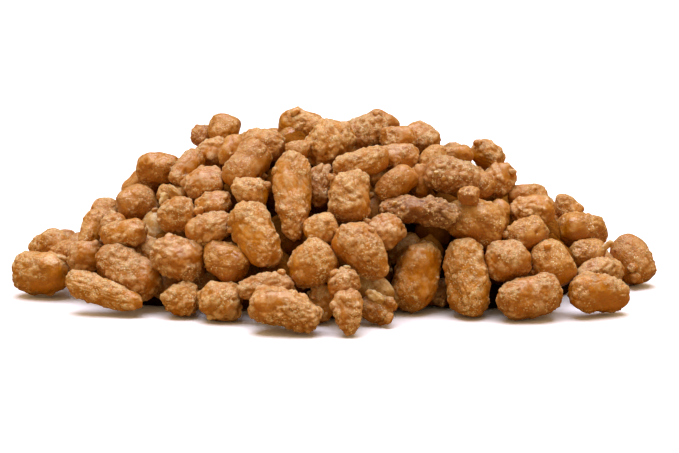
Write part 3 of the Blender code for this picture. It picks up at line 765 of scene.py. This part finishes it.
def node(tree, kind, inputs=(), **settings):
    """Adds a node with its settings, and gives its inputs a value or a link, by name or number."""
    new = tree.nodes.new(kind)
    for name, value in settings.items():
        setattr(new, name, value)
    for key, value in dict(inputs).items():
        if isinstance(value, bpy.types.NodeSocket):
            tree.links.new(value, new.inputs[key])
        else:
            new.inputs[key].default_value = value
    return new


def blended(tree, share, first, second):
    """Two colours mixed by a share."""
    inputs = {0: share, 6: first, 7: second}
    return node(tree, "ShaderNodeMix", inputs, data_type="RGBA").outputs[2]


def sums(tree, way, first, second, clamp=False):
    """One step of arithmetic on two values."""
    return node(tree, "ShaderNodeMath", {0: first, 1: second}, operation=way, use_clamp=clamp).outputs[0]


def scaled(tree, value, share):
    """A value times a share."""
    return sums(tree, "MULTIPLY", value, share)


def vectors(tree, way, first, second):
    """One step of arithmetic on two vectors or colours."""
    return node(tree, "ShaderNodeVectorMath", {0: first, 1: second}, operation=way).outputs[0]


def ranged(tree, value, low, high, to_low=0.0, to_high=1.0):
    """A value moved from one range to another, eased and held inside it."""
    inputs = {0: value, 1: low, 2: high, 3: to_low, 4: to_high}
    return node(tree, "ShaderNodeMapRange", inputs, interpolation_type="SMOOTHSTEP").outputs[0]


def cloud(tree, vector, per_metre, detail=3.0, rough=0.55):
    """Noise of so many waves in each metre, about 0.3 to 0.7."""
    inputs = {"Vector": vector, "Scale": per_metre, "Detail": detail, "Roughness": rough}
    return node(tree, "ShaderNodeTexNoise", inputs).outputs[0]


def new_group(name, inputs, outputs):
    """An empty node group with named sockets: its tree, its input sockets and its output node."""
    tree = bpy.data.node_groups.new(name, "ShaderNodeTree")
    for way, sockets in (("INPUT", inputs), ("OUTPUT", outputs)):
        for socket, kind in sockets.items():
            tree.interface.new_socket(socket, in_out=way, socket_type=f"NodeSocket{kind}")
    return tree, tree.nodes.new("NodeGroupInput").outputs, tree.nodes.new("NodeGroupOutput").inputs


MID_GREY = (0.5, 0.5, 0.5)  # a noise's colour spreads each way about this
CRUMBS_PER_METRE = 1450.0
CRYSTALS_PER_METRE = 2400.0


def bent_by_noise(tree, vector, per_metre, reach):
    """A place shifted by noise, up to about reach metres each way."""
    warp = node(tree, "ShaderNodeTexNoise", {"Vector": vector, "Scale": per_metre, "Detail": 2.0})
    centred = vectors(tree, "SUBTRACT", warp.outputs["Color"], MID_GREY)
    return vectors(tree, "ADD", vector, vectors(tree, "MULTIPLY", centred, (4 * reach,) * 3))


def broken_faces(tree, vector, per_metre):
    """Cells of which each is a flat face tilted its own way: their outputs, and the faces' height."""
    cells = node(tree, "ShaderNodeTexVoronoi", {"Vector": vector, "Scale": per_metre}).outputs
    away = vectors(tree, "SUBTRACT", vector, cells["Position"])
    tilt = vectors(tree, "SUBTRACT", cells["Color"], MID_GREY)
    slope = node(tree, "ShaderNodeVectorMath", {0: away, 1: tilt}, operation="DOT_PRODUCT")
    return cells, scaled(tree, slope.outputs["Value"], 2.0 * per_metre)


def toffee_crust():
    """The crust's own grain: crumbs of about 0.7 mm as rounded, tilted faces, finer noise, and cracks.

    The height runs from about 0 to 1, and the cracks are 1 along the seams between crumbs.
    """
    tree, given, result = new_group(
        "toffee crust", {"Vector": "Vector"}, {"Height": "Float", "Cracks": "Float"}
    )
    bent = bent_by_noise(tree, given["Vector"], 900.0, 0.0003)
    crumb, faces = broken_faces(tree, bent, CRUMBS_PER_METRE)
    rounded = ranged(tree, crumb["Distance"], 0.75, 0.10)
    fine = cloud(tree, given["Vector"], 1500.0, 4.0, 0.7)
    height = sums(tree, "ADD", scaled(tree, rounded, 0.45), scaled(tree, fine, 0.6))
    height = sums(tree, "ADD", height, scaled(tree, faces, 0.30))
    inputs = {"Vector": bent, "Scale": CRUMBS_PER_METRE}
    seams = node(tree, "ShaderNodeTexVoronoi", inputs, feature="DISTANCE_TO_EDGE").outputs["Distance"]
    tree.links.new(height, result["Height"])
    tree.links.new(ranged(tree, seams, 0.10, 0.01), result["Cracks"])
    return tree


COLOURS = ("Body", "Blush", "Deep", "Pale", "Burnt")


def toffee_colour():
    """The coat's colour: what is laid over its body tone, one after the other.

    Blush in clouds, with more as painted light on the tops; deep amber in pools, and as painted shade on
    the undersides; pale frost in clouds, with more as painted light on the tops; deep amber in the glaze,
    and as painted shade in the grain's low spots and in the valleys, where pooled toffee also deepens it;
    scorched clouds; pale crests, part sugar and part painted highlight; and painted shade in the hollows
    and the cracks.
    Each nut's tone makes the whole a little lighter or darker.
    """
    values = ("Height", "Cracks", *(mark.capitalize() for mark in MARKS))
    sockets = {"Vector": "Vector", **dict.fromkeys(values, "Float"), **dict.fromkeys(COLOURS, "Color")}
    tree, given, result = new_group("toffee colour", sockets, {"Color": "Color"})
    where = given["Vector"]

    def over(share, shade):
        return blended(tree, share, colour, given[shade])

    colour = given["Body"]
    # Blush in clouds, with more on the tops as painted light.
    patches = sums(tree, "ADD", cloud(tree, where, 210.0), scaled(tree, given["Dry"], 0.20))
    colour = over(ranged(tree, patches, 0.46, 0.66), "Blush")
    # Painted shade: deep amber on the undersides.
    colour = over(ranged(tree, given["Dry"], 0.65, 0.05, 0.0, 0.9), "Deep")
    colour = over(ranged(tree, cloud(tree, where, 340.0, 2.0), 0.46, 0.66, 0.0, 0.75), "Deep")
    # Pale frost in clouds, with more on the tops as painted light.
    frost = sums(tree, "ADD", cloud(tree, where, 520.0, 2.5), scaled(tree, given["Dry"], 0.28))
    colour = over(ranged(tree, frost, 0.62, 0.84, 0.0, 0.6), "Pale")
    # Painted shade: deep amber in the grain's low spots.
    colour = over(scaled(tree, ranged(tree, given["Height"], 0.50, 0.24), 0.25), "Deep")
    glazed = scaled(tree, given["Glaze"], ranged(tree, cloud(tree, where, 160.0), 0.35, 0.62))
    colour = over(scaled(tree, glazed, 0.35), "Deep")
    # The valleys: deep amber, part pooled toffee and part painted shade.
    colour = over(scaled(tree, given["Valley"], 0.75), "Deep")
    scorch = ranged(tree, cloud(tree, where, 130.0, 5.0, 0.6), 0.60, 0.74)
    colour = over(scaled(tree, scorch, 0.5), "Burnt")
    # Pale crests: sugar, and a painted highlight on the grain's tops.
    crest = sums(tree, "MAXIMUM", given["Crest"], ranged(tree, given["Height"], 0.60, 0.95, 0.0, 0.4))
    colour = over(scaled(tree, crest, 0.46), "Pale")
    # Painted shade in the deepest hollows.
    colour = over(scaled(tree, ranged(tree, given["Valley"], 0.45, 1.0), 0.35), "Burnt")
    # Painted shade in the cracks between crumbs, away from the glaze.
    open_crust = sums(tree, "SUBTRACT", 1.0, given["Glaze"], clamp=True)
    cracked = scaled(tree, open_crust, ranged(tree, cloud(tree, where, 420.0), 0.48, 0.64))
    colour = over(scaled(tree, scaled(tree, given["Cracks"], cracked), 0.5), "Burnt")
    lighter = ranged(tree, given["Tone"], -1.0, 1.0, 0.92, 1.05)
    hue = ranged(tree, given["Tone"], -1.0, 1.0, 0.500, 0.505)
    toned = {"Hue": hue, "Saturation": 1.03, "Value": lighter, "Color": colour}
    tree.links.new(node(tree, "ShaderNodeHueSaturation", toned).outputs[0], result["Color"])
    return tree


def sugar_crystals():
    """Scattered crystals in loose crowds: cells of 0.4 mm, some of which stand up as tilted faces."""
    tree, given, result = new_group(
        "sugar crystals", {"Vector": "Vector", "Amount": "Float"}, {"Mask": "Float", "Height": "Float"}
    )
    cells, faces = broken_faces(tree, given["Vector"], CRYSTALS_PER_METRE)
    drawn = node(tree, "ShaderNodeSeparateColor", {0: cells["Color"]}).outputs[0]
    crowd = ranged(tree, cloud(tree, given["Vector"], 260.0), 0.42, 0.62)
    bar = sums(tree, "SUBTRACT", 1.0, scaled(tree, given["Amount"], crowd))
    chosen = sums(tree, "GREATER_THAN", drawn, bar)
    mask = scaled(tree, chosen, ranged(tree, cells["Distance"], 0.62, 0.40))
    tree.links.new(mask, result["Mask"])
    tree.links.new(scaled(tree, mask, sums(tree, "ADD", faces, 0.6)), result["Height"])
    return tree


TOFFEE_CRUST = toffee_crust()
TOFFEE_COLOUR = toffee_colour()
SUGAR_CRYSTALS = sugar_crystals()
# The crystals' colour: pale sugar, and a painted glint.
SUGAR = tint(246, 214, 170)
GRAIN_DEPTH = 0.0006  # metres of relief in the bump, which stands for grain finer than the mesh


def coat(name, body, blush, deep, pale, burnt, crystals, rough, bump, gloss):
    """A coat's material: its colours, how many crystals it carries, its roughness, grain and gloss."""
    material = bpy.data.materials.new(name)
    material.use_nodes = True
    tree = material.node_tree
    sockets = tree.nodes["Principled BSDF"].inputs
    where = node(tree, "ShaderNodeTexCoord").outputs["Object"]
    marks = {
        mark: node(tree, "ShaderNodeAttribute", attribute_name=mark).outputs["Fac"] for mark in MARKS
    }
    crust = node(tree, "ShaderNodeGroup", {"Vector": where}, node_tree=TOFFEE_CRUST).outputs
    inputs = {"Vector": where, "Height": crust["Height"], "Cracks": crust["Cracks"]}
    inputs.update({mark.capitalize(): value for mark, value in marks.items()})
    shades = (body, blush, deep, pale, burnt)
    inputs.update({socket: tint(*shade) for socket, shade in zip(COLOURS, shades)})
    colour = node(tree, "ShaderNodeGroup", inputs, node_tree=TOFFEE_COLOUR).outputs["Color"]
    inputs = {"Vector": where, "Amount": crystals}
    sugar = node(tree, "ShaderNodeGroup", inputs, node_tree=SUGAR_CRYSTALS).outputs
    bare = sums(tree, "SUBTRACT", 1.0, marks["glaze"], clamp=True)
    crystal = scaled(tree, sugar["Mask"], bare)
    # The crystals are pale sugar, and part of their whiteness is a painted glint.
    tree.links.new(blended(tree, scaled(tree, crystal, 0.85), colour, SUGAR), sockets["Base Color"])
    worn = ranged(tree, cloud(tree, where, 350.0), 0.35, 0.65, rough - 0.08, rough + 0.12)
    dull = sums(tree, "SUBTRACT", worn, scaled(tree, marks["glaze"], 0.12))
    tree.links.new(sums(tree, "SUBTRACT", dull, scaled(tree, crystal, 0.28)), sockets["Roughness"])
    softer = sums(tree, "SUBTRACT", 1.0, scaled(tree, marks["glaze"], 0.8))
    grain = sums(tree, "SUBTRACT", crust["Height"], scaled(tree, crust["Cracks"], 0.15))
    height = sums(tree, "ADD", scaled(tree, grain, softer), scaled(tree, sugar["Height"], bare))
    relief = node(tree, "ShaderNodeBump", {"Height": height, "Strength": bump, "Distance": GRAIN_DEPTH})
    tree.links.new(relief.outputs["Normal"], sockets["Normal"])
    sockets["Subsurface Weight"].default_value = 0.30
    sockets["Subsurface Radius"].default_value = (1.0, 0.45, 0.18)
    sockets["Subsurface Scale"].default_value = 0.0018
    sockets["Specular IOR Level"].default_value = 4.0 * gloss
    sockets["Coat Weight"].default_value = gloss
    sockets["Coat Roughness"].default_value = 0.16
    return material


TAN = (209, 133, 36)
AMBER = (182, 104, 10)
BLUSH = (219, 149, 79)
# The pale colour of sugar, which the crests and tops also take as painted light.
CRYSTAL = (236, 200, 160)
BURNT = (122, 58, 8)
# Each coat's name, its body, blush, deep, pale and scorch-and-shade colours as they look on a screen,
# how many crystals it carries, its roughness, and the strength of its grain and of its gloss.  The blush,
# deep, pale and scorch-and-shade colours carry painted light and painted shade as well as the coat's own
# colour.
FINISHES = {
    "sugary": ("sugary toffee", TAN, BLUSH, AMBER, CRYSTAL, BURNT, 0.40, 0.42, 0.54, 0.13),
    "nodular": ("nodular toffee", (204, 132, 50), BLUSH, AMBER, CRYSTAL, BURNT, 0.32, 0.42, 0.50, 0.13),
    "crusty": (
        "crusty toffee", (206, 134, 56), (216, 150, 90), (170, 94, 14), CRYSTAL, BURNT,
        0.42, 0.42, 0.54, 0.13,
    ),
    "smooth": (
        "smooth toffee", (204, 134, 58), (212, 148, 88), AMBER, (228, 180, 128), BURNT,
        0.32, 0.40, 0.50, 0.14,
    ),
    "amber": (
        "amber toffee", (198, 126, 44), (208, 142, 76), (168, 90, 8), (226, 174, 116), BURNT,
        0.28, 0.36, 0.48, 0.17,
    ),
    # The dark toffee is one darker nut's own colour, and painted shade on the nuts in shaded recesses.
    "dark": (
        "dark toffee", (166, 98, 36), (180, 114, 58), (120, 62, 12), (222, 178, 134), (92, 44, 8),
        0.30, 0.42, 0.50, 0.10,
    ),
    "pale": (
        "bare kernel", (216, 168, 106), (224, 180, 124), (184, 124, 52), (250, 232, 204), (160, 100, 36),
        0.06, 0.45, 0.25, 0.08,
    ),
    # The shaded toffee and the dark inside are painted shade: nuts and a core that only show in the gaps.
    "inner": (
        "shaded toffee", (132, 72, 20), (142, 82, 30), (98, 50, 8), (160, 102, 50), (74, 34, 6),
        0.0, 0.60, 0.40, 0.0,
    ),
    "core": (
        "dark inside", (58, 26, 8), (64, 30, 10), (40, 18, 4), (70, 36, 14), (34, 14, 4),
        0.0, 0.85, 0.20, 0.0,
    ),
}
MATERIALS = {kind: coat(*finish) for kind, finish in FINISHES.items()}


# ======== The pieces ========


def outer_nuts(second_layer):
    """Every outer nut with its coat, and those of the second layer, in pieces by coat.

    The nuts that were read are apart from the rest.  A filling nut that lies deep keeps its coat's
    relief, but has the shaded colour.
    """
    gathered = {}
    place, axis, length, width, read = laid_nuts()
    for number, nut in enumerate(zip(place, axis, length, width)):
        kind = SEEN[number][6] if read[number] else FILL_COATS[number % len(FILL_COATS)]
        if read[number]:
            piece = f"{kind}_nuts"
        elif above_mound(nut[0]) < -SHADED_DEPTH:
            piece = "inner_nuts_behind"
        else:
            piece = f"{kind}_nuts_behind"
        if piece == "sugary_nuts":
            piece += "_left" if nut[0][0] < 0 else "_right"
        edge = FRONT_EDGE if read[number] else BACK_EDGE
        gathered.setdefault(piece, []).append(coated_nut(*nut, number, kind, edge))
    for number, nut in enumerate(second_layer):
        kind = FILL_COATS[number % len(FILL_COATS)]
        grown = coated_nut(*nut, SECOND_NUMBERS + number, kind, SECOND_EDGE)
        gathered.setdefault(f"{kind}_nuts_behind", []).append(grown)
    return gathered


def shaded_nuts(layer):
    """The nuts of the second layer that only show in the gaps in front, painted dark as shade."""
    numbered = enumerate(layer, INNER_NUMBERS)
    return [coated_nut(*nut, number, "inner", INNER_EDGE) for number, nut in numbered]


def crumbs(nuts):
    """The crumbs of CRUMBS, each set a little into the surface that the front view shows there."""
    skin = np.concatenate([points for parts in nuts.values() for points, _, _ in parts])
    across, down, depth = in_view(skin)
    gathered = {}
    for number, (x, y, length, width, lean, kind) in enumerate(CRUMBS):
        off = np.hypot(across - x, down - y)
        under = skin[np.argmin(np.where(off < off.min() + 1.0, depth, np.inf))]
        sight = unit(under - VIEW_PLACE)
        lean = math.radians(lean)
        axis = unit(math.cos(lean) * VIEW_RIGHT + math.sin(lean) * VIEW_UP)
        place = under - 0.1 * width / 1000 * sight
        size = (length / 1000, width / 1000)
        grown = coated_nut(place, axis, *size, CRUMB_NUMBERS + number, "crumb", FRONT_EDGE)
        gathered.setdefault(f"{kind}_crumbs", []).append(grown)
    return gathered


SECOND_LAYER, SHADED_LAYER = inner_nuts()
NUTS = outer_nuts(SECOND_LAYER)
PIECES = {**NUTS, **crumbs(NUTS), "inner_nuts": shaded_nuts(SHADED_LAYER), "core": [core()]}
for piece, parts in PIECES.items():
    made(piece, parts, MATERIALS[piece.split("_")[0]])


# ======== Floor, light and camera ========


FLOOR_HALF = 6.0
FLOOR_WHITE = (1.25, 1.2, 1.36, 1.0)  # how white it looks: so bright that only deep shadows show
FLOOR_BOUNCE = (0.56, 0.41, 0.18, 1.0)  # the light it throws back up at the nuts
FLOOR_IN_GLOSS = (0.08, 0.08, 0.08, 1.0)  # and in their gloss
ROOM = (0.65, 0.515, 0.26, 1.0)  # how bright the room is, as warm as light that passes through toffee
ROOM_IN_GLOSS = (0.13, 0.11, 0.08, 1.0)
LIGHT_COLOUR = (0.93, 1.0, 1.12)
LIGHT_FALLS = (0.02, -0.04, -1.0)
LIGHT_STRENGTH = 2.8
LIGHT_SPREAD = math.radians(56.0)


def plain_floor():
    """A white surface that reaches past the picture's edges."""
    mesh = bpy.data.meshes.new("floor")
    square = ((-1, -1), (1, -1), (1, 1), (-1, 1))
    mesh.from_pydata([(x * FLOOR_HALF, y * FLOOR_HALF, 0) for x, y in square], [], [(0, 1, 2, 3)])
    material = bpy.data.materials.new("white surface")
    material.use_nodes = True
    tree = material.node_tree
    sockets = tree.nodes["Principled BSDF"].inputs
    path = node(tree, "ShaderNodeLightPath").outputs
    below = blended(tree, path["Is Glossy Ray"], FLOOR_BOUNCE, FLOOR_IN_GLOSS)
    tree.links.new(blended(tree, path["Is Camera Ray"], below, FLOOR_WHITE), sockets["Base Color"])
    sockets["Roughness"].default_value = 0.8
    sockets["Specular IOR Level"].default_value = 0.1
    mesh.materials.append(material)
    floor = bpy.data.objects.new("floor", mesh)
    bpy.context.scene.collection.objects.link(floor)


def overhead_light():
    """One broad light from above, as even as a large overhead window."""
    light = bpy.data.lights.new("overhead light", "SUN")
    light.energy = LIGHT_STRENGTH
    light.color = LIGHT_COLOUR
    light.angle = LIGHT_SPREAD
    lamp = bpy.data.objects.new("overhead light", light)
    lamp.rotation_euler = Vector(LIGHT_FALLS).to_track_quat("-Z", "Y").to_euler()
    bpy.context.scene.collection.objects.link(lamp)


def warm_room():
    """An even warm room, which the gloss shows less of than the rest, so that shaded sides stay deep."""
    world = bpy.data.worlds.new("warm room")
    world.use_nodes = True
    tree = world.node_tree
    mirrored = node(tree, "ShaderNodeLightPath").outputs["Is Glossy Ray"]
    shade = blended(tree, mirrored, ROOM, ROOM_IN_GLOSS)
    tree.links.new(shade, tree.nodes["Background"].inputs["Color"])
    bpy.context.scene.world = world


def camera():
    """The camera of the front view."""
    lens = bpy.data.cameras.new("camera")
    lens.sensor_width = SENSOR_WIDTH
    lens.lens = SENSOR_WIDTH * VIEW_LENS / PICTURE_WIDTH
    lens.clip_start = 0.01
    lens.clip_end = 50
    eye = bpy.data.objects.new("camera", lens)
    eye.location = VIEW_PLACE
    eye.rotation_euler = Vector(VIEW_FORWARD).to_track_quat("-Z", "Y").to_euler()
    bpy.context.scene.collection.objects.link(eye)
    bpy.context.scene.camera = eye


plain_floor()
overhead_light()
warm_room()
bpy.context.scene.view_settings.view_transform = "Standard"
camera()
